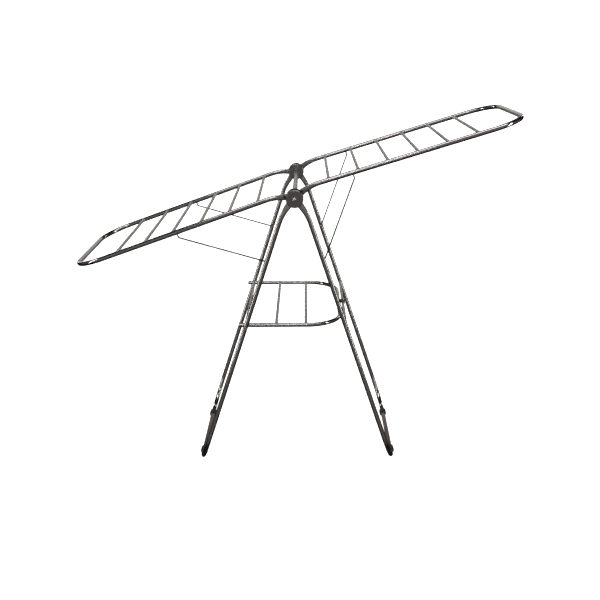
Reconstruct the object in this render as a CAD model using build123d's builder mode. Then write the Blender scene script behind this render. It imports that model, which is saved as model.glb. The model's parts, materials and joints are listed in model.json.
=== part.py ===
# Folding clothes drying rack: two laddered wings and two leg frames that turn on one hub axle,
# a U-shaped lower shelf, and wire props that hold the wings out.
# +Z is up, +X runs along the open wings, the hub axle lies along Y, and z = 0 is the floor.
import os
from math import cos, radians, sin, tan

from build123d import *

os.makedirs("parts", exist_ok=True)

# Driving dimensions, in millimetres and degrees
cut_length = 40              # long enough to cut through any one piece
hub_height = 950
leg_splay = 18.35            # each leg frame, from the vertical
left_wing_droop = 19.4       # below the horizontal
right_wing_rise = 16.68      # above the horizontal
line_offset = 22.5           # every frame's straight tubes run this far off the hub axis
wing_length = 762            # hub axis to the middle of the end bar
first_rung = 119
rung_pitch = 98.2
rungs_per_wing = 6
tube_radius = 8
tube_wall = 0.8
rung_radius = 5
rung_wall = 0.8
crossbar_wall = 1.5
corner_bend = 110            # bend radius of a frame's far corners
wing_y = 262                 # middle of the side tubes, from the middle of the rack
leg_y = 279
crossbar_height = 520

# Flattened tube ends at the hub
tab_thickness = 3
tab_width = 22
tab_angle = 22               # between the tab and its frame's straight tube
neck_bend = 180              # the tube widens from flat to round along this bend
neck_stations = 4
axle_radius = 4
axle_hole = 4.06
tab_y = {"left_wing": 259.5, "right_wing": 264.5, "left_leg": 276, "right_leg": 281}

# Hub covers, axle and nuts
cover_radius = 28.5
inner_cover = (250.5, 256)
outer_cover = (284, 290.5)
cap_nut_end = 303
nut_end_wall = 6              # between the axle's end and the nut's end
cross_tube_radius = 8
cover_round = 2.5
nut_recess_radius = 11.5
nut_recess_depth = 3
nut_radius = 7.5             # over the corners
nut_height = 7
nut_dome_radius = 5.8
nut_dome_flat = 1.5
washer_radius = 9
washer_play = 0.05           # at each face of a washer

# Screws and pins
head_seat = 1.5              # how far a head or collar is coped over its tube
head_height = 3.4
head_taper = 22
screw_start = 2.5
screw_length = 26
screw_radius = 3.2
head_radius = 5.5
pin_radius = 2
pin_hole = 2.06
pin_collar_radius = 4
pin_head_radius = 4.5
pin_head_height = 2
pin_head_taper = 20
pin_seat = 4                 # the pin's inner end from the middle of the leg tube
pin_play = 0.4               # beside a prop's eye

# Feet
foot_height = 12.5           # middle of a bottom bar above the floor
sleeve_radius = 13.2         # cut flat at the floor
sleeve_length = 26
sleeve_y = 155
sleeve_round = 2.5

# Lower shelf
shelf_radius = 7
shelf_y = 251
shelf_bend = 112
shelf_overhang = 22          # the bars' left ends past the left crossbar
shelf_rung_at = (101, 200)   # from the left crossbar
shelf_gap = 4                # between the end bar and the right crossbar
crossbar_hole = 5.06
clip_width = 22
clip_wall = 2.5
clip_play = 0.6
clip_mouth_angle = -119
clip_mouth_length = 30
plug_lip = 1.6
plug_taper = 20
plug_length = 8

# Wire props
wire_radius = 2.5
prop_y = 262
prop_pivot_height = 741
peg_length = 10
peg_gap = 0.4                # under the wing tube
knee_bend = 6
eye_radius = 6
eye_round = 1
left_hook_at = 395           # along the left wing from the hub axis
right_hook_at = 198

# The hub stands a little off the middle, so that z = 0, x = 0 is the middle of the footprint
left_reach = wing_length * cos(radians(left_wing_droop)) + line_offset * sin(radians(left_wing_droop))
right_reach = wing_length * cos(radians(right_wing_rise)) - line_offset * sin(radians(right_wing_rise))
hub_x = (left_reach - right_reach) / 2
hub = Vector(hub_x, 0, hub_height)


# A frame's plane: local x runs away from the hub axle and local y towards the offset side
def frame_plane(angle, side):
    along = Vector(cos(radians(angle)), 0, sin(radians(angle)))
    return Plane(origin=hub, x_dir=along, z_dir=(0, side, 0))


left_wing_plane = frame_plane(180 + left_wing_droop, 1)
right_wing_plane = frame_plane(right_wing_rise, -1)
left_leg_plane = frame_plane(270 - leg_splay, 1)
right_leg_plane = frame_plane(270 + leg_splay, -1)


# Distance along a leg frame at which its straight tube reaches a height
def leg_distance(height):
    return (hub_height + line_offset * sin(radians(leg_splay)) - height) / cos(radians(leg_splay))


leg_length = leg_distance(foot_height)
neck_end = line_offset / tan(radians(tab_angle)) + neck_bend * tan(radians(tab_angle / 2))
tab_length = line_offset / sin(radians(tab_angle)) - neck_bend * tan(radians(tab_angle / 2))
crossbar_at = leg_distance(crossbar_height)
pivot_at = leg_distance(prop_pivot_height)


def save(piece, name):
    piece.label = name
    export_step(piece, f"parts/{name}.step")


# A frame's centre line from one neck round to the other
def frame_path(plane, length, half_width):
    corners = [
        (neck_end, line_offset, -half_width), (length, line_offset, -half_width),
        (length, line_offset, half_width), (neck_end, line_offset, half_width),
    ]
    places = [plane.from_local_coords(p) for p in corners]
    return FilletPolyline(*places, radius=corner_bend)


# The section planes along a neck, from flat to round, each with its half width and half thickness
def neck_sections(plane, tab_middle, tube_middle):
    sections = []
    for i in range(neck_stations + 1):
        share = i / neck_stations
        tilt = radians(tab_angle * (1 - share))
        place = (neck_end - neck_bend * sin(tilt), line_offset - neck_bend * (1 - cos(tilt)),
                 tab_middle + (tube_middle - tab_middle) * share)
        along = plane.from_local_coords((cos(tilt), sin(tilt), 0)) - plane.origin
        across = plane.from_local_coords((-sin(tilt), cos(tilt), 0)) - plane.origin
        opened = sin(radians(90 * share))
        wide = tab_width / 2 + (tube_radius - tab_width / 2) * opened
        thick = tab_thickness / 2 + (tube_radius - tab_thickness / 2) * opened
        where = Plane(origin=plane.from_local_coords(place), x_dir=across, z_dir=along)
        sections.append((where, wide, thick))
    return sections


# A U frame: the bent tube, and at each end a neck that narrows to a flat tab
def build_frame(name, plane, length, half_width, side_holes=()):
    # each side hole is (distance along the frame, radius, -1 for the inner wall or 1 for the outer)
    tilt = radians(tab_angle)
    along = plane.from_local_coords((cos(tilt), sin(tilt), 0)) - plane.origin
    with BuildPart() as frame:
        with BuildLine():
            centre_line = frame_path(plane, length, half_width)
        with BuildSketch(Plane(origin=centre_line @ 0, z_dir=centre_line % 0)):
            Circle(tube_radius)
            Circle(tube_radius - tube_wall, mode=Mode.SUBTRACT)
        sweep(path=centre_line)
        for side in (-1, 1):
            flat = Plane(origin=plane.from_local_coords((0, 0, side * tab_y[name])),
                         x_dir=along, z_dir=plane.z_dir)
            with BuildSketch(flat.offset(-tab_thickness / 2)):
                Circle(tab_width / 2)
                with Locations((tab_length / 2, 0)):
                    Rectangle(tab_length, tab_width)
            extrude(amount=tab_thickness)
            sections = neck_sections(plane, side * tab_y[name], side * half_width)
            for where, wide, thick in sections:
                with BuildSketch(where):
                    Ellipse(wide, thick)
            loft()
            for where, wide, thick in sections[1:]:
                with BuildSketch(where):
                    Ellipse(wide - tube_wall, thick - tube_wall)
            loft(mode=Mode.SUBTRACT)
        with Locations(Plane(origin=plane.origin, z_dir=(0, 1, 0))):
            Cylinder(axle_hole, 2 * leg_y + cut_length, mode=Mode.SUBTRACT)
        for distance, radius, wall in side_holes:
            middle = plane.from_local_coords((distance, line_offset, 0))
            for side in (-1, 1):
                at_wall = middle + Vector(0, side * (half_width + wall * tube_radius), 0)
                with Locations(Plane(origin=at_wall, z_dir=(0, 1, 0))):
                    Cylinder(radius, 4 * tube_wall, mode=Mode.SUBTRACT)
    return frame.part


# A round bar across a frame, its ends coped to the side tubes or square at a given half length
def cross_bar(middle, radius, wall, half_length, cope_plane=None, cope_y=0, cope_radius=0):
    with BuildPart() as bar:
        with BuildSketch(Plane(origin=middle, z_dir=(0, 1, 0))):
            Circle(radius)
            Circle(radius - wall, mode=Mode.SUBTRACT)
        extrude(amount=half_length, both=True)
        if cope_plane:
            for side in (-1, 1):
                tube_middle = middle + Vector(0, side * cope_y, 0)
                with Locations(Plane(origin=tube_middle, z_dir=cope_plane.x_dir)):
                    Cylinder(cope_radius, cut_length, mode=Mode.SUBTRACT)
    return bar.part


# Wings: a bent tube and its rungs
for name, plane in (("left_wing", left_wing_plane), ("right_wing", right_wing_plane)):
    save(build_frame(name, plane, wing_length, wing_y), f"{name}_tube")
    for i in range(rungs_per_wing):
        middle = plane.from_local_coords((first_rung + rung_pitch * i, line_offset, 0))
        rung = cross_bar(middle, rung_radius, rung_wall, wing_y, plane, wing_y, tube_radius)
        save(rung, f"{name}_rung_{i + 1}")

# Leg frames: a bent tube, a crossbar between its sides, and screws into the crossbar's ends
crossbar_half = leg_y - tube_radius + tube_wall
leg_holes = (
    (crossbar_at, rung_radius, -1),
    (crossbar_at, screw_radius, 1),
    (pivot_at, pin_radius, -1),
)
for name, plane in (("left_leg", left_leg_plane), ("right_leg", right_leg_plane)):
    save(build_frame(name, plane, leg_length, leg_y, leg_holes), f"{name}_tube")
    middle = plane.from_local_coords((crossbar_at, line_offset, 0))
    save(cross_bar(middle, rung_radius, crossbar_wall, crossbar_half), f"{name}_crossbar")
    foot = plane.from_local_coords((leg_length, line_offset, 0))
    for side, where in ((-1, "front"), (1, "rear")):
        with BuildPart() as sleeve:
            with BuildSketch(Plane(origin=foot + Vector(0, side * sleeve_y, 0), z_dir=(0, 1, 0))):
                Circle(sleeve_radius)
            extrude(amount=sleeve_length / 2, both=True)
            fillet(sleeve.edges().filter_by(GeomType.CIRCLE), sleeve_round)
            with Locations(Plane(origin=foot + Vector(0, side * sleeve_y, 0), z_dir=(0, 1, 0))):
                Cylinder(tube_radius, sleeve_length + 2, mode=Mode.SUBTRACT)
            split(bisect_by=Plane.XY, keep=Keep.TOP)
        save(sleeve.part, f"{name}_foot_sleeve_{where}")

# Screws through the outer tube wall into the crossbars, each with a low domed head outside,
# and the pins that the wire props turn on, each with a collar against the leg's inner wall
for name, plane in (("left_leg", left_leg_plane), ("right_leg", right_leg_plane)):
    middle = plane.from_local_coords((crossbar_at, line_offset, 0))
    with BuildPart() as screws:
        for side in (-1, 1):
            seat_y = side * (leg_y + tube_radius - head_seat)
            seat = Plane(middle + Vector(0, seat_y, 0), z_dir=(0, side, 0))
            with BuildSketch(seat):
                Circle(head_radius)
            extrude(amount=head_height, taper=head_taper)
            with Locations(Plane(middle + Vector(0, side * leg_y, 0), z_dir=plane.x_dir)):
                Cylinder(tube_radius, cut_length, mode=Mode.SUBTRACT)
            with BuildSketch(seat.offset(screw_start)):
                Circle(screw_radius)
            extrude(amount=-screw_length)
    save(screws.part, f"{name}_crossbar_screws")

    pivot = plane.from_local_coords((pivot_at, line_offset, 0))
    collar_start = leg_y - tube_radius + head_seat
    collar_end = prop_y + wire_radius + pin_play
    head_start = prop_y - wire_radius - pin_play
    with BuildPart() as pins:
        for side in (-1, 1):
            with BuildSketch(Plane(pivot + Vector(0, side * collar_start, 0), z_dir=(0, -side, 0))):
                Circle(pin_collar_radius)
            extrude(amount=collar_start - collar_end)
            with Locations(Plane(pivot + Vector(0, side * leg_y, 0), z_dir=plane.x_dir)):
                Cylinder(tube_radius, cut_length, mode=Mode.SUBTRACT)
            with BuildSketch(Plane(pivot + Vector(0, side * (leg_y - pin_seat), 0), z_dir=(0, -side, 0))):
                Circle(pin_radius)
            extrude(amount=leg_y - pin_seat - head_start + pin_head_height / 2)
            with BuildSketch(Plane(pivot + Vector(0, side * head_start, 0), z_dir=(0, -side, 0))):
                Circle(pin_head_radius)
            extrude(amount=pin_head_height, taper=pin_head_taper)
    save(pins.part, f"{name}_prop_pins")

# Hub: a threaded axle, the tube between the two hubs, covers, washers and cap nuts
with BuildPart() as axle:
    with BuildSketch(Plane(hub, z_dir=(0, 1, 0))):
        Circle(axle_radius)
    extrude(amount=cap_nut_end - nut_end_wall, both=True)
save(axle.part, "hub_axle")

with BuildPart() as hub_tube:
    with BuildSketch(Plane(hub, z_dir=(0, 1, 0))):
        Circle(cross_tube_radius)
        Circle(axle_hole, mode=Mode.SUBTRACT)
    extrude(amount=inner_cover[0], both=True)
save(hub_tube.part, "hub_cross_tube")

for side, where in ((-1, "front"), (1, "rear")):
    for cover_name, (near, far) in (("inner", inner_cover), ("outer", outer_cover)):
        outward = Plane(hub + Vector(0, side * near, 0), z_dir=(0, side, 0))
        with BuildPart() as cover:
            with BuildSketch(outward):
                Circle(cover_radius)
            extrude(amount=far - near)
            rounded_side = side if cover_name == "outer" else -side
            rim = cover.faces().sort_by(Axis.Y)[-1 if rounded_side == 1 else 0]
            fillet(rim.edges(), cover_round)
            if cover_name == "outer":
                with BuildSketch(outward.offset(far - near)):
                    Circle(nut_recess_radius)
                extrude(amount=-nut_recess_depth, mode=Mode.SUBTRACT)
            with Locations(outward):
                Cylinder(axle_hole, cut_length, mode=Mode.SUBTRACT)
        save(cover.part, f"hub_{cover_name}_cover_{where}")

    nut_seat = outer_cover[1] - nut_recess_depth
    with BuildPart() as nut:
        with BuildSketch(Plane(hub + Vector(0, side * nut_seat, 0), z_dir=(0, side, 0))):
            RegularPolygon(nut_radius, 6)
        extrude(amount=nut_height)
        with BuildSketch(Plane(hub + Vector(0, side * (nut_seat + nut_height), 0), z_dir=(0, side, 0))):
            Circle(nut_dome_radius)
        extrude(amount=cap_nut_end - nut_seat - nut_height)
        end_face = nut.faces().sort_by(Axis.Y)[0 if side == -1 else -1]
        fillet(end_face.edges(), nut_dome_radius - nut_dome_flat)
        with BuildSketch(Plane(hub, z_dir=(0, side, 0))):
            Circle(axle_radius)
        extrude(amount=cap_nut_end - nut_end_wall, mode=Mode.SUBTRACT)
    save(nut.part, f"hub_cap_nut_{where}")

stack = (inner_cover[1], tab_y["left_wing"], tab_y["right_wing"], tab_y["left_leg"], tab_y["right_leg"],
         outer_cover[0])
half_tab = tab_thickness / 2
gap_starts = [stack[0]] + [y + half_tab for y in stack[1:-1]]
gap_ends = [y - half_tab for y in stack[1:-1]] + [stack[-1]]
with BuildPart() as washers:
    for side in (-1, 1):
        for start, end in zip(gap_starts, gap_ends):
            with BuildSketch(Plane(hub + Vector(0, side * (start + washer_play), 0), z_dir=(0, side, 0))):
                Circle(washer_radius)
                Circle(axle_hole, mode=Mode.SUBTRACT)
            extrude(amount=end - start - 2 * washer_play)
save(washers.part, "hub_washers")

# Shelf: a bent tube that turns on the left crossbar and lies level against the right one
left_bar = left_leg_plane.from_local_coords((crossbar_at, line_offset, 0))
right_bar = right_leg_plane.from_local_coords((crossbar_at, line_offset, 0))
shelf_start = left_bar.X - shelf_overhang
shelf_end = right_bar.X - rung_radius - shelf_gap - shelf_radius
with BuildPart() as shelf:
    with BuildLine():
        shelf_line = FilletPolyline(
            (shelf_start, -shelf_y, crossbar_height), (shelf_end, -shelf_y, crossbar_height),
            (shelf_end, shelf_y, crossbar_height), (shelf_start, shelf_y, crossbar_height),
            radius=[shelf_bend, shelf_bend])
    with BuildSketch(Plane(origin=shelf_line @ 0, z_dir=shelf_line % 0)):
        Circle(shelf_radius)
        Circle(shelf_radius - tube_wall, mode=Mode.SUBTRACT)
    sweep(path=shelf_line)
    with Locations(Plane(left_bar, z_dir=(0, 1, 0))):
        Cylinder(crossbar_hole, 2 * leg_y, mode=Mode.SUBTRACT)
save(shelf.part, "shelf_tube")

shelf_plane = Plane((left_bar.X, 0, crossbar_height), x_dir=(1, 0, 0), z_dir=(0, 0, 1))
for i, distance in enumerate(shelf_rung_at):
    middle = shelf_plane.from_local_coords((distance, 0, 0))
    rung = cross_bar(middle, rung_radius, rung_wall, shelf_y, shelf_plane, shelf_y, shelf_radius)
    save(rung, f"shelf_rung_{i + 1}")

with BuildPart() as plugs:
    for side in (-1, 1):
        mouth = Plane((shelf_start, side * shelf_y, crossbar_height), z_dir=(-1, 0, 0))
        with BuildSketch(mouth):
            Circle(shelf_radius)
        extrude(amount=plug_lip, taper=plug_taper)
        with BuildSketch(mouth):
            Circle(shelf_radius - tube_wall)
        extrude(amount=-plug_length)
save(plugs.part, "shelf_end_plugs")

# The clip grips the shelf's end bar and hooks over the right crossbar from above. Its mouth
# leans the way the crossbar leaves it as the rack folds.
with BuildPart() as clip:
    with BuildSketch(Plane((shelf_end, 0, crossbar_height), x_dir=(1, 0, 0), z_dir=(0, -1, 0))):
        bar_distance = right_bar.X - shelf_end
        Circle(shelf_radius + clip_wall)
        with Locations((bar_distance, 0)):
            Circle(rung_radius + clip_wall)
        with Locations((bar_distance / 2, clip_wall)):
            Rectangle(bar_distance, 2 * rung_radius)
        Circle(shelf_radius, mode=Mode.SUBTRACT)
        with Locations((bar_distance, 0)):
            Circle(rung_radius + clip_play, mode=Mode.SUBTRACT)
        with Locations(Location((bar_distance, 0, 0), (0, 0, clip_mouth_angle))):
            with Locations((clip_mouth_length / 2, 0)):
                Rectangle(clip_mouth_length, 2 * (rung_radius + clip_play), mode=Mode.SUBTRACT)
    extrude(amount=clip_width / 2, both=True)
save(clip.part, "shelf_clip")

# Wire props: an eye on the leg's pin, a straight arm, a knee and a short peg under the wing tube
tip_offset = line_offset - tube_radius - peg_gap
prop_layouts = (
    ("left", left_wing_plane, left_leg_plane, left_hook_at),
    ("right", right_wing_plane, right_leg_plane, right_hook_at),
)
for wing, wing_plane, leg_plane, hook_at in prop_layouts:
    for side, where in ((-1, "front"), (1, "rear")):
        across = Vector(0, side * prop_y, 0)
        tip = wing_plane.from_local_coords((hook_at, tip_offset, 0)) + across
        knee = wing_plane.from_local_coords((hook_at, tip_offset - peg_length, 0)) + across
        pivot = leg_plane.from_local_coords((pivot_at, line_offset, 0)) + across
        arm_start = pivot + (knee - pivot).normalized() * (pin_hole + wire_radius)
        with BuildPart() as prop:
            with BuildSketch(Plane(pivot, z_dir=(0, 1, 0))):
                Circle(eye_radius)
            extrude(amount=wire_radius, both=True)
            fillet(prop.edges().filter_by(GeomType.CIRCLE), eye_round)
            with BuildLine():
                wire = FilletPolyline(arm_start, knee, tip, radius=knee_bend)
            with BuildSketch(Plane(origin=wire @ 0, z_dir=wire % 0)):
                Circle(wire_radius)
            sweep(path=wire)
            with Locations(Plane(pivot, z_dir=(0, 1, 0))):
                Cylinder(pin_hole, cut_length, mode=Mode.SUBTRACT)
        save(prop.part, f"{wing}_prop_{where}")
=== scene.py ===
import json
import math

import bmesh
import bpy
from mathutils import Matrix, Vector


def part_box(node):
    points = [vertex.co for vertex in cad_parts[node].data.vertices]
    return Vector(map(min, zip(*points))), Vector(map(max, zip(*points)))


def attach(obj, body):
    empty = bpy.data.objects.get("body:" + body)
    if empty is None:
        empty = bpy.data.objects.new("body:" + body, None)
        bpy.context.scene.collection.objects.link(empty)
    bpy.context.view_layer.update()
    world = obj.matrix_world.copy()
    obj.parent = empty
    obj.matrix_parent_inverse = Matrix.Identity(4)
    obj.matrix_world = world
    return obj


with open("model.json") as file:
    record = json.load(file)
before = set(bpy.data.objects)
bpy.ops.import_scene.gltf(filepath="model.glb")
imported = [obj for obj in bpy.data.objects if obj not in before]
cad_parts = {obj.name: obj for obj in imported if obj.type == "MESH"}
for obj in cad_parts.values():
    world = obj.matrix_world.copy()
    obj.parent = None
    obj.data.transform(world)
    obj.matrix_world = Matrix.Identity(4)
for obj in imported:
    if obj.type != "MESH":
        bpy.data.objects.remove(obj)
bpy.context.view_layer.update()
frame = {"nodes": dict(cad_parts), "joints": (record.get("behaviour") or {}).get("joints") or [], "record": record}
nodes = frame["nodes"]
slotOf = {part["node"]: part["material_slot"] for part in frame["record"]["subparts"]}
jointAt = {joint["name"]: Vector(joint["pos_m"]) for joint in frame["joints"]}
hub = jointAt["leg_fold"]
mm = 0.001
print("rack frame loaded,", len(nodes), "nodes")

# camera
camera = {
    "place": (0.0355, -2.954, 1.4616),
    "yaw": -0.0073,
    "pitch": -0.3063,
    "roll": -0.0075,
    "lens": 51.6,
    "sensor": 36,
}


def placeCamera():
    yaw, pitch, roll = camera["yaw"], camera["pitch"], camera["roll"]
    forward = Vector((math.sin(yaw) * math.cos(pitch), math.cos(yaw) * math.cos(pitch), math.sin(pitch)))
    level = Vector((math.cos(yaw), -math.sin(yaw), 0))
    up = level.cross(forward)
    right = level * math.cos(roll) + up * math.sin(roll)
    up = up * math.cos(roll) - level * math.sin(roll)
    data = bpy.data.cameras.new("camera")
    data.lens = camera["lens"]
    data.sensor_width = camera["sensor"]
    holder = bpy.data.objects.new("camera", data)
    bpy.context.scene.collection.objects.link(holder)
    holder.matrix_world = Matrix((
        (right.x, up.x, -forward.x, camera["place"][0]),
        (right.y, up.y, -forward.y, camera["place"][1]),
        (right.z, up.z, -forward.z, camera["place"][2]),
        (0, 0, 0, 1),
    ))
    bpy.context.scene.camera = holder


placeCamera()
print("camera placed")


# a wrapped socket: expressions on it add Math nodes
class Value:
    def __init__(self, tree, socket):
        self.tree = tree
        self.socket = socket

    def maths(self, operation, first, second=None):
        made = self.tree.nodes.new("ShaderNodeMath")
        made.operation = operation
        feed(self.tree, made.inputs[0], first)
        if second is not None:
            feed(self.tree, made.inputs[1], second)
        return Value(self.tree, made.outputs[0])

    def __add__(self, other):
        return self.maths("ADD", self, other)

    def __radd__(self, other):
        return self.maths("ADD", other, self)

    def __sub__(self, other):
        return self.maths("SUBTRACT", self, other)

    def __rsub__(self, other):
        return self.maths("SUBTRACT", other, self)

    def __mul__(self, other):
        return self.maths("MULTIPLY", self, other)

    def __rmul__(self, other):
        return self.maths("MULTIPLY", other, self)

    def limited(self, low, high):
        return self.maths("MAXIMUM", self.maths("MINIMUM", self, high), low)


def feed(tree, socket, value):
    if isinstance(value, Value):
        tree.links.new(value.socket, socket)
    else:
        socket.default_value = value


def addNode(tree, kind, settings=None, **values):
    made = tree.nodes.new("ShaderNode" + kind)
    for name, setting in (settings or {}).items():
        if name == "stops":
            ramp = made.color_ramp
            while len(ramp.elements) < len(setting):
                ramp.elements.new(0.5)
            for element, (place, colour) in zip(ramp.elements, setting):  # stops are given from low to high
                element.position = place
                element.color = colour
        else:
            setattr(made, name, setting)
    for name, value in values.items():
        wanted = name.replace("_", " ")
        found = [s for s in made.inputs if s.name == wanted and s.enabled]
        feed(tree, found[0], value)
    return made


def output(tree, node, name):
    found = [s for s in node.outputs if s.name == name and s.enabled]
    return Value(tree, found[0])


def startMaterial(name, metallic, roughness):
    material = bpy.data.materials.new(name)
    material.use_nodes = True
    tree = material.node_tree
    shader = tree.nodes["Principled BSDF"]
    shader.inputs["Metallic"].default_value = metallic
    shader.inputs["Roughness"].default_value = roughness
    return material, tree, shader


noiseRoughness = 0.55


def spotNoise(tree, scale, detail, stretch=None, turn=0.0):
    place = output(tree, addNode(tree, "TexCoord"), "Object")
    if stretch:
        mapping = addNode(tree, "Mapping", {"vector_type": "TEXTURE"}, Vector=place)
        mapping.inputs["Rotation"].default_value = (0, turn, 0)
        mapping.inputs["Scale"].default_value = stretch
        place = output(tree, mapping, "Vector")
    noise = addNode(tree, "TexNoise", None, Vector=place, Scale=scale, Detail=detail,
                    Roughness=noiseRoughness)
    return output(tree, noise, "Fac" if "Fac" in noise.outputs else "Factor")


def mixColour(tree, factor, first, second):
    mixed = addNode(tree, "Mix", {"data_type": "RGBA"})
    feed(tree, mixed.inputs["Factor"], factor)
    feed(tree, mixed.inputs[6], first)  # 6, 7 and output 2 are the node's colour sockets
    feed(tree, mixed.inputs[7], second)
    return Value(tree, mixed.outputs[2])


# how the marks on every metal are laid out: scales in spots per metre, and how far each one shows
steelMarks = {
    "grainScale": 900,
    "grainDetail": 2,
    "grainShade": 0.3,
    "grainRough": 0.05,
    "bumpDepth": 0.0001,
    "hazeScale": 14,
    "hazeDetail": 4,
    "hazeStart": 0.4,
    "hazeRough": 0.08,
    "smudgeScale": 60,
    "smudgeDetail": 5,
    "smudgeStart": 0.52,
    "smudgeGain": 3.2,
    "smudgeRough": 0.04,
    "roughest": 0.6,
    "smoothest": 0.05,
}


# drawn marks run along the tube, with handling smudges and a faint haze over them
def polishedSteel(name, finish):
    material, tree, shader = startMaterial(name, 1.0, finish["roughness"])
    marks = steelMarks
    grain = spotNoise(tree, marks["grainScale"], marks["grainDetail"], finish["grainStretch"], finish["turn"])
    haze = spotNoise(tree, marks["hazeScale"], marks["hazeDetail"])
    smudge = spotNoise(tree, marks["smudgeScale"], marks["smudgeDetail"])
    smudged = (smudge - marks["smudgeStart"]).limited(0, 1) * marks["smudgeGain"]
    dull = (haze - marks["hazeStart"]).limited(0, 1) * finish["haze"]
    worn = (grain * marks["grainShade"] + dull).limited(0, 1)
    feed(tree, shader.inputs["Base Color"], mixColour(tree, worn, finish["bright"], finish["dark"]))
    rough = finish["roughness"] + (grain - 0.5) * marks["grainRough"]
    rough = rough + dull * marks["hazeRough"] + smudged * marks["smudgeRough"]
    feed(tree, shader.inputs["Roughness"], rough.limited(marks["smoothest"], marks["roughest"]))
    bump = addNode(tree, "Bump", None, Strength=finish["bump"], Distance=marks["bumpDepth"], Height=grain)
    feed(tree, shader.inputs["Normal"], output(tree, bump, "Normal"))
    return material


blackMarks = {
    "stippleScale": 1500,
    "stippleDetail": 2,
    "stippleRough": 0.12,
    "bumpDepth": 0.0002,
    "dustScale": 35,
    "dustDetail": 5,
    "dustStart": 0.5,
    "dustRough": 0.2,
    "smoothest": 0.2,
}


# a fine moulded stipple with dust in patches
def mouldedBlack(name, finish):
    material, tree, shader = startMaterial(name, 0.0, finish["roughness"])
    marks = blackMarks
    stipple = spotNoise(tree, marks["stippleScale"], marks["stippleDetail"])
    dust = spotNoise(tree, marks["dustScale"], marks["dustDetail"])
    dusty = ((dust - marks["dustStart"]).limited(0, 1) * finish["dust"]).limited(0, 1)
    feed(tree, shader.inputs["Base Color"], mixColour(tree, dusty, finish["colour"], finish["dusty"]))
    rough = finish["roughness"] + (stipple - 0.5) * marks["stippleRough"] + dusty * marks["dustRough"]
    feed(tree, shader.inputs["Roughness"], rough.limited(marks["smoothest"], 1))
    bump = addNode(tree, "Bump", None, Strength=finish["bump"], Distance=marks["bumpDepth"], Height=stipple)
    feed(tree, shader.inputs["Normal"], output(tree, bump, "Normal"))
    return material


rungsPerWing = 6


def slopeOf(body):
    low, high = (sum(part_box(f"{body}_rung_{i}"), Vector()) / 2 for i in (1, rungsPerWing))
    return math.atan2(high.z - low.z, high.x - low.x)


legSlope = math.atan2(hub.z - jointAt["shelf_fold"].z, hub.x - jointAt["shelf_fold"].x)
alongX = (30, 1, 1)
alongY = (1, 30, 1)
evenly = (1, 1, 1)
steel = {
    "roughness": 0.12,
    "haze": 0.35,
    "bump": 0.015,
    "bright": (0.68, 0.65, 0.64, 1),
    "dark": (0.42, 0.395, 0.375, 1),
    "grainStretch": alongX,
    "turn": 0.0,
}
rungSteel = {
    **steel,
    "grainStretch": alongY,
    "roughness": 0.26,
    "bright": (0.62, 0.615, 0.60, 1),
    "dark": (0.42, 0.41, 0.395, 1),
}
finishes = {
    "leftWingSteel": {**steel, "turn": -slopeOf("left_wing")},
    "rightWingSteel": {**steel, "turn": -slopeOf("right_wing")},
    "leftLegSteel": {**steel, "turn": -legSlope},
    "rightLegSteel": {**steel, "turn": legSlope},
    "shelfSteel": steel,
    "rungSteel": rungSteel,
    "propWire": {
        **steel,
        "roughness": 0.3,
        "bright": (0.075, 0.08, 0.087, 1),
        "dark": (0.03, 0.033, 0.036, 1),
    },
    "hubSteel": {
        **steel,
        "grainStretch": evenly,
        "roughness": 0.2,
        "bright": (0.44, 0.44, 0.465, 1),
        "dark": (0.30, 0.30, 0.32, 1),
    },
    "brightHardware": {
        **steel,
        "grainStretch": evenly,
        "roughness": 0.22,
        "bright": (0.88, 0.88, 0.90, 1),
        "dark": (0.66, 0.66, 0.68, 1),
    },
    "weldSteel": {**rungSteel, "grainStretch": evenly, "roughness": 0.4},
}
blackFinishes = {
    "sleeveRubber": {
        "roughness": 0.55,
        "dust": 1.2,
        "bump": 0.3,
        "colour": (0.012, 0.012, 0.013, 1),
        "dusty": (0.05, 0.048, 0.045, 1),
    },
    "blackPlastic": {
        "roughness": 0.4,
        "dust": 0.8,
        "bump": 0.2,
        "colour": (0.014, 0.014, 0.015, 1),
        "dusty": (0.045, 0.045, 0.045, 1),
    },
}
materials = {name: polishedSteel(name, finish) for name, finish in finishes.items()}
materials.update({name: mouldedBlack(name, finish) for name, finish in blackFinishes.items()})
print("materials made")


# frame tubes take the finish whose drawn marks run along them, the rest go by their material slot
tubeFinishes = {
    "left_wing": "leftWingSteel",
    "right_wing": "rightWingSteel",
    "left_leg": "leftLegSteel",
    "right_leg": "rightLegSteel",
    "shelf": "shelfSteel",
}
slotFinishes = {
    "frame_tube": "rungSteel",
    "rung_steel": "rungSteel",
    "prop_wire": "propWire",
    "hub_cover": "hubSteel",
    "hardware": "brightHardware",
    "foot_sleeve": "sleeveRubber",
    "black_plastic": "blackPlastic",
}


def materialFor(name):
    if slotOf[name] == "frame_tube":
        for start, finish in tubeFinishes.items():
            if name.startswith(start):
                return materials[finish]
    return materials[slotFinishes[slotOf[name]]]


for name, piece in nodes.items():
    piece.data.materials.clear()
    piece.data.materials.append(materialFor(name))
print("finishes on the CAD nodes")


def newPiece(name, build, material, body):
    mesh = bpy.data.meshes.new(name)
    work = bmesh.new()
    build(work)
    bmesh.ops.recalc_face_normals(work, faces=work.faces)
    work.to_mesh(mesh)
    work.free()
    for face in mesh.polygons:
        face.use_smooth = True
    piece = bpy.data.objects.new(name, mesh)
    bpy.context.scene.collection.objects.link(piece)
    mesh.materials.append(material)
    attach(piece, body)


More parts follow.
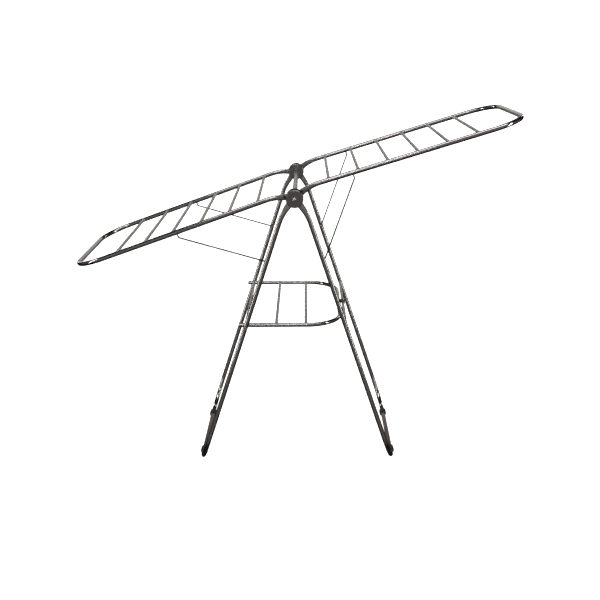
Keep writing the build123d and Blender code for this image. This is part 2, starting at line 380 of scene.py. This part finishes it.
# a closed ring of round section along a closed line of points
def addBead(work, points, radius, sides):
    rings = []
    count = len(points)
    for i, point in enumerate(points):
        ahead = (points[(i + 1) % count] - points[i - 1]).normalized()
        middle = sum(points, Vector()) / count
        outward = (point - middle).normalized()
        across = ahead.cross(outward).normalized()
        outward = across.cross(ahead)
        rings.append([work.verts.new(point + (outward * math.cos(a) + across * math.sin(a)) * radius)
                      for a in (2 * math.pi * k / sides for k in range(sides))])
    for i in range(count):
        here, there = rings[i], rings[(i + 1) % count]
        for k in range(sides):
            work.faces.new((here[k], here[(k + 1) % sides], there[(k + 1) % sides], there[k]))


# weld beads where the bars meet the side tubes
weld = {
    "bead": 0.9 * mm,
    "points": 28,
    "sides": 8,
    "outset": 0.35,  # of the bead's radius, past the bar
    "ripple": 0.12 * mm,
    "ripples": 7,
}
tubeRadius = 8 * mm
barRadius = 5 * mm


def weldRing(work, middle, along, side, tubeRadius):
    up = along.cross(Vector((0, 1, 0))).normalized()
    points = []
    for i in range(weld["points"]):
        angle = 2 * math.pi * i / weld["points"]
        wave = weld["ripple"] * math.sin(weld["ripples"] * angle)
        radius = barRadius + weld["bead"] * weld["outset"] + wave
        rise = radius * math.sin(angle)
        reach = math.sqrt(max(tubeRadius ** 2 - rise ** 2, 0))
        points.append(middle + along * radius * math.cos(angle) + up * rise - Vector((0, side * reach, 0)))
    addBead(work, points, weld["bead"], weld["sides"])


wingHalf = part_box("left_wing_tube")[1].y - tubeRadius


def wingWelds(wing):
    slope = slopeOf(wing)
    along = Vector((math.cos(slope), 0, math.sin(slope)))

    def build(work):
        for i in range(1, rungsPerWing + 1):
            low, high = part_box(f"{wing}_rung_{i}")
            middle = (low + high) / 2
            for side in (-1, 1):
                weldRing(work, Vector((middle.x, side * wingHalf, middle.z)), along, side, tubeRadius)

    newPiece(f"{wing}_weld_beads", build, materials["weldSteel"], wing)


for wing in ("left_wing", "right_wing"):
    wingWelds(wing)

shelfLow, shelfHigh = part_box("shelf_tube")
shelfTubeRadius = (shelfHigh.z - shelfLow.z) / 2


def shelfWelds(work):
    for i in (1, 2):
        low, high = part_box(f"shelf_rung_{i}")
        middle = (low + high) / 2
        for side in (-1, 1):
            at = Vector((middle.x, side * (shelfHigh.y - shelfTubeRadius), middle.z))
            weldRing(work, at, Vector((1, 0, 0)), side, shelfTubeRadius)


newPiece("shelf_weld_beads", shelfWelds, materials["weldSteel"], "shelf")
print("weld beads made")

# studio: a round pale floor that curves up into a wall all round
studio = {
    "floorRadius": 5.2,
    "bend": 2.2,
    "bendSteps": 12,
    "roundSteps": 96,
    "height": 6.0,
    "drop": 0.0004,  # keeps the paper clear of the sleeves' flats
    "colour": (0.9, 0.9, 0.9, 1),
    "roughness": 0.9,
    "specular": 0.1,
    "glow": 0.93,
}


def makeStudio():
    floorRadius, bend = studio["floorRadius"], studio["bend"]
    profile = [(floorRadius, 0.0)]
    for i in range(1, studio["bendSteps"] + 1):
        angle = math.pi / 2 * i / studio["bendSteps"]
        profile.append((floorRadius + bend * math.sin(angle), bend * (1 - math.cos(angle))))
    profile.append((floorRadius + bend, studio["height"]))
    work = bmesh.new()
    steps = studio["roundSteps"]
    turns = [2 * math.pi * k / steps for k in range(steps)]
    rings = [[work.verts.new((reach * math.cos(turn), reach * math.sin(turn), z)) for turn in turns]
             for reach, z in profile]
    work.faces.new(rings[0])
    for inner, outer in zip(rings, rings[1:]):
        for k in range(steps):
            work.faces.new((inner[k], outer[k], outer[(k + 1) % steps], inner[(k + 1) % steps]))
    bmesh.ops.recalc_face_normals(work, faces=work.faces)
    mesh = bpy.data.meshes.new("studioFloor")
    work.to_mesh(mesh)
    work.free()
    for face in mesh.polygons:
        face.use_smooth = len(face.vertices) == 4
    floor = bpy.data.objects.new("studioFloor", mesh)
    bpy.context.scene.collection.objects.link(floor)
    floor.location.z = -studio["drop"]
    material, tree, shader = startMaterial("studioPaper", 0.0, studio["roughness"])
    shader.inputs["Base Color"].default_value = studio["colour"]
    shader.inputs["Specular IOR Level"].default_value = studio["specular"]
    shader.inputs["Emission Color"].default_value = (1, 1, 1, 1)
    shader.inputs["Emission Strength"].default_value = studio["glow"]
    mesh.materials.append(material)
    floor.visible_glossy = False  # polished tubes mirror the lamps and the dim room, not the paper


makeStudio()


# tall strips at the sides draw the light lines along the tubes
lampAim = (0, 0, 0.7)
lamps = {
    "overheadLamp": {"place": (0, -0.9, 3.3), "wide": 3.4, "tall": 0.8, "power": 26},
    "frontLamp": {"place": (-0.4, -3.6, 3.0), "wide": 1.2, "tall": 0.3, "power": 8},
    "leftLamp": {"place": (-3.0, -1.3, 1.3), "wide": 0.3, "tall": 2.4, "power": 16},
    "rightLamp": {"place": (3.0, -1.3, 1.3), "wide": 0.3, "tall": 2.4, "power": 16},
    "rearLeftLamp": {"place": (-2.2, 2.4, 1.6), "wide": 0.3, "tall": 2.2, "power": 7},
    "rearRightLamp": {"place": (2.2, 2.4, 1.6), "wide": 0.3, "tall": 2.2, "power": 7},
}


def addLamp(name, facts):
    data = bpy.data.lights.new(name, "AREA")
    data.shape = "RECTANGLE"
    data.size = facts["wide"]
    data.size_y = facts["tall"]
    data.energy = facts["power"]
    lamp = bpy.data.objects.new(name, data)
    bpy.context.scene.collection.objects.link(lamp)
    lamp.location = facts["place"]
    lamp.rotation_mode = "QUATERNION"
    lamp.rotation_quaternion = (Vector(lampAim) - Vector(facts["place"])).to_track_quat("-Z", "Y")


for name, facts in lamps.items():
    addLamp(name, facts)

# the room that the metal mirrors: warm grey in front, behind and at the sides, one pale patch, dark corners
room = {
    "levels": [
        (0.0, (0.03, 0.028, 0.026, 1)),
        (0.22, (0.10, 0.092, 0.086, 1)),
        (0.45, (0.15, 0.139, 0.131, 1)),
        (0.62, (0.24, 0.224, 0.212, 1)),
        (0.76, (0.10, 0.095, 0.09, 1)),
        (1.0, (0.04, 0.04, 0.04, 1)),
    ],
    "dark": (0.012, 0.011, 0.011, 1),
    "frontStart": 0.48,
    "frontSharpness": 4.0,
    "rearStart": 0.84,
    "sideStart": 0.9,
    "sharpness": 12.0,
    "sideShare": 0.4,
    "patch": (0.55, 0.54, 0.52, 1),
    "patchStart": 0.9,
    "patchSharpness": 16.0,
    "patchBottom": 0.05,
    "patchRise": 8,
}


def makeRoom():
    world = bpy.data.worlds.new("studioRoom")
    bpy.context.scene.world = world
    world.use_nodes = True
    tree = world.node_tree
    parts = addNode(tree, "SeparateXYZ", None, Vector=output(tree, addNode(tree, "TexCoord"), "Generated"))
    across, depth, height = (output(tree, parts, axis) for axis in "XYZ")
    ramp = addNode(tree, "ValToRGB", {"stops": room["levels"]}, Fac=height * 0.5 + 0.5)
    front = ((0 - depth - room["frontStart"]) * room["frontSharpness"]).limited(0, 1)
    rear = ((depth - room["rearStart"]) * room["sharpness"]).limited(0, 1)
    sides = ((across * across - room["sideStart"] ** 2) * room["sharpness"]).limited(0, room["sideShare"])
    lit = (front + rear + sides).limited(0, 1)
    behind = ((depth - room["patchStart"]) * room["patchSharpness"]).limited(0, 1)
    patch = behind * ((height - room["patchBottom"]) * room["patchRise"]).limited(0, 1)
    walls = mixColour(tree, lit, room["dark"], output(tree, ramp, "Color"))
    background = tree.nodes["Background"]
    feed(tree, background.inputs["Color"], mixColour(tree, patch, walls, room["patch"]))


makeRoom()
bpy.context.scene.view_settings.view_transform = "Standard"
print("studio lit")
